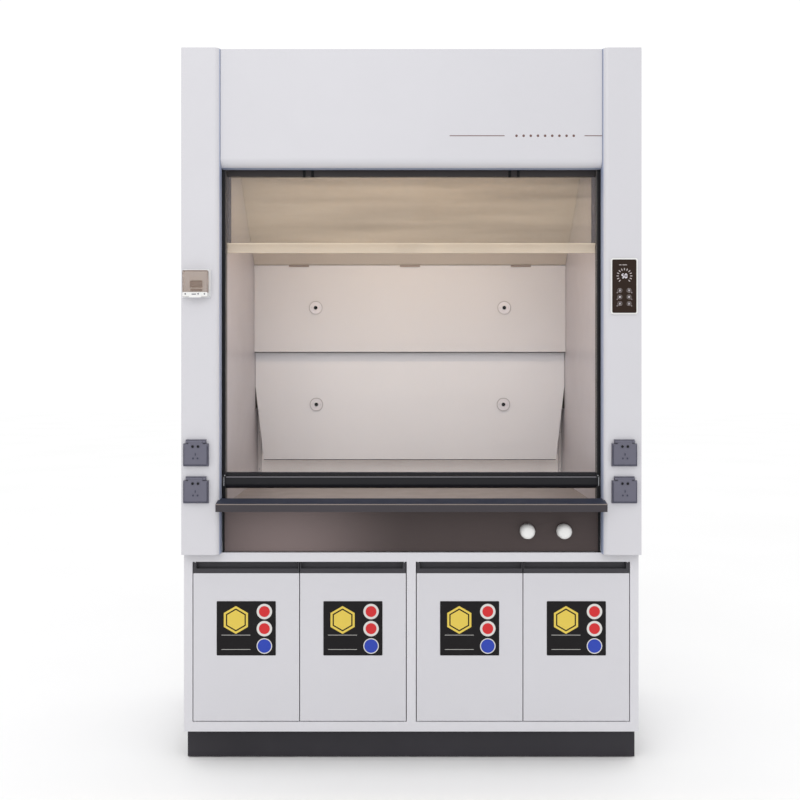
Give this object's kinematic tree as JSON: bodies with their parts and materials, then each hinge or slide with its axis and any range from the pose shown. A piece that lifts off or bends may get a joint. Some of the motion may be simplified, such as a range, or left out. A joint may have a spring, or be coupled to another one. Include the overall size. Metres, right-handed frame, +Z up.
{
  "type": "fume hood",
  "caption": "Floor-standing ducted laboratory fume hood with a sliding glass sash, service columns, a baffled work chamber and a base cabinet with hinged doors.",
  "frame": {"origin": "on the floor, under the centre of the hood's bounding box", "axes": "+X to the user's right when facing the hood, -Y out of the front, +Z up"},
  "size_m": [1.5, 0.85, 2.41],
  "materials": {
    "white_steel": "smooth white powder coat, low sheen",
    "white_board": "white melamine laminate",
    "dark_plinth": "dark charcoal laminate",
    "zinc_steel": "zinc-plated steel",
    "frame_aluminium": "extruded aluminium",
    "dark_plastic": "dark charcoal plastic, satin",
    "black_track": "black plastic, satin",
    "worktop_slab": "light grey chemical-resistant slab",
    "sill_metal": "dark metallic powder coat",
    "brown_panel": "brown metallic powder coat, satin",
    "liner_board": "off-white phenolic board, slight sheen",
    "lamp_body": "white enamel",
    "diffuser": "opal diffuser",
    "safety_glass": "clear toughened glass",
    "grey_rail": "dark grey anodised",
    "belt_rubber": "black toothed-belt rubber",
    "nylon": "natural nylon",
    "smoked_lid": "smoked clear plastic",
    "white_plastic": "white moulded plastic",
    "touch_glass": "dark brown touch glass",
    "outlet_grey": "blue-grey moulded plastic",
    "valve_brass": "machined brass",
    "ballast_steel": "painted steel bar"
  },
  "bodies": {
    "hood": {"plinth": "dark_plinth", "leveling_feet": "zinc_steel", "cabinet_carcass": "white_board", "cabinet_front_frame": "white_board", "cabinet_shelves": "white_board", "door_pivot_pins": "zinc_steel", "support_frame": "frame_aluminium", "worktop": "worktop_slab", "airfoil_sill": "sill_metal", "service_panel": "brown_panel", "column_cover_left": "white_steel", "column_cover_right": "white_steel", "side_panels": "white_steel", "header_panel": "white_steel", "top_panel": "white_steel", "exhaust_collar": "white_plastic", "back_panel": "white_steel", "liners": "liner_board", "chamber_ceiling": "liner_board", "baffle_top": "liner_board", "baffle_middle": "liner_board", "baffle_lower": "liner_board", "rod_sockets": "white_plastic", "baffle_hangers": "dark_plastic", "lamp_housing": "lamp_body", "lamp_diffuser": "diffuser", "upper_glass": "safety_glass", "upper_glass_rail": "grey_rail", "sash_tracks": "black_track", "drive_belts": "belt_rubber", "bearing_blocks": "nylon", "pulley_axles": "zinc_steel", "breaker_box": "white_plastic", "control_panel": "touch_glass", "socket_plates": "outlet_grey", "valve_bodies": "valve_brass"},
    "sash": {"sash_glass": "safety_glass", "sash_handle": "sill_metal", "sash_end_caps": "zinc_steel", "sash_carriers": "frame_aluminium"},
    "sync_shaft": {"sync_shaft": "zinc_steel", "upper_pulleys": "nylon"},
    "lower_pulleys": {"lower_pulleys": "nylon"},
    "counterweights": {"counterweights": "ballast_steel"},
    "breaker_lid": {"breaker_lid": "smoked_lid"},
    "breaker_lever": {"breaker_lever": "dark_plastic"},
    "valve_knob_1": {"valve_knob_1": "white_plastic"},
    "valve_knob_2": {"valve_knob_2": "white_plastic"},
    "door_1": {"door_1": "white_steel", "door_pull_1": "dark_plastic"},
    "door_2": {"door_2": "white_steel", "door_pull_2": "dark_plastic"},
    "door_3": {"door_3": "white_steel", "door_pull_3": "dark_plastic"},
    "door_4": {"door_4": "white_steel", "door_pull_4": "dark_plastic"},
    "socket_lid_left_high": {"socket_lid_left_high": "outlet_grey"},
    "socket_lid_left_low": {"socket_lid_left_low": "outlet_grey"},
    "socket_lid_right_high": {"socket_lid_right_high": "outlet_grey"},
    "socket_lid_right_low": {"socket_lid_right_low": "outlet_grey"}
  },
  "joints": [
    {"name": "sash_slide", "type": "slide", "parent": "hood", "child": "sash", "axis": [0, 0, 1], "range_m": [-0.034, 0.6]},
    {"name": "sync_shaft_spin", "type": "hinge", "parent": "hood", "child": "sync_shaft", "pos_m": [0, -0.285, 2.28], "axis": [-1, 0, 0], "range_deg": [-50, 825]},
    {"name": "lower_pulley_spin", "type": "hinge", "parent": "hood", "child": "lower_pulleys", "pos_m": [0, -0.285, 0.8], "axis": [-1, 0, 0], "range_deg": [-50, 825]},
    {"name": "counterweight_slide", "type": "slide", "parent": "hood", "child": "counterweights", "axis": [0, 0, 1], "range_m": [-0.601, 0.035]},
    {"name": "door_1_hinge", "type": "hinge", "parent": "hood", "child": "door_1", "pos_m": [-0.714, -0.339, 0.4], "axis": [0, 0, -1], "range_deg": [0, 90]},
    {"name": "door_2_hinge", "type": "hinge", "parent": "hood", "child": "door_2", "pos_m": [-0.023, -0.339, 0.4], "axis": [0, 0, 1], "range_deg": [0, 90]},
    {"name": "door_3_hinge", "type": "hinge", "parent": "hood", "child": "door_3", "pos_m": [0.023, -0.339, 0.4], "axis": [0, 0, -1], "range_deg": [0, 90]},
    {"name": "door_4_hinge", "type": "hinge", "parent": "hood", "child": "door_4", "pos_m": [0.714, -0.339, 0.4], "axis": [0, 0, 1], "range_deg": [0, 90]},
    {"name": "breaker_lid_hinge", "type": "hinge", "parent": "hood", "child": "breaker_lid", "pos_m": [-0.699, -0.3915, 1.6215], "axis": [-1, 0, 0], "range_deg": [0, 90]},
    {"name": "breaker_lever_hinge", "type": "hinge", "parent": "hood", "child": "breaker_lever", "pos_m": [-0.699, -0.385, 1.579], "axis": [1, 0, 0], "range_deg": [-25, 25]},
    {"name": "socket_lid_left_high_hinge", "type": "hinge", "parent": "hood", "child": "socket_lid_left_high", "pos_m": [-0.7, -0.3975, 1.0665], "axis": [-1, 0, 0], "range_deg": [0, 110]},
    {"name": "socket_lid_left_low_hinge", "type": "hinge", "parent": "hood", "child": "socket_lid_left_low", "pos_m": [-0.7, -0.3975, 0.9465], "axis": [-1, 0, 0], "range_deg": [0, 110]},
    {"name": "socket_lid_right_high_hinge", "type": "hinge", "parent": "hood", "child": "socket_lid_right_high", "pos_m": [0.692, -0.3975, 1.0665], "axis": [-1, 0, 0], "range_deg": [0, 110]},
    {"name": "socket_lid_right_low_hinge", "type": "hinge", "parent": "hood", "child": "socket_lid_right_low", "pos_m": [0.692, -0.3975, 0.9465], "axis": [-1, 0, 0], "range_deg": [0, 110]},
    {"name": "valve_knob_1_turn", "type": "hinge", "parent": "hood", "child": "valve_knob_1", "pos_m": [0.383, -0.35, 0.768], "axis": [0, -1, 0], "range_deg": [0, 270]},
    {"name": "valve_knob_2_turn", "type": "hinge", "parent": "hood", "child": "valve_knob_2", "pos_m": [0.504, -0.35, 0.768], "axis": [0, -1, 0], "range_deg": [0, 270]}
  ],
  "couplings": [
    {"joint": "sync_shaft_spin", "follows": "sash_slide", "rad_per_m": 23.866},
    {"joint": "lower_pulley_spin", "follows": "sash_slide", "rad_per_m": 23.866},
    {"joint": "counterweight_slide", "follows": "sash_slide", "ratio": -1}
  ]
}
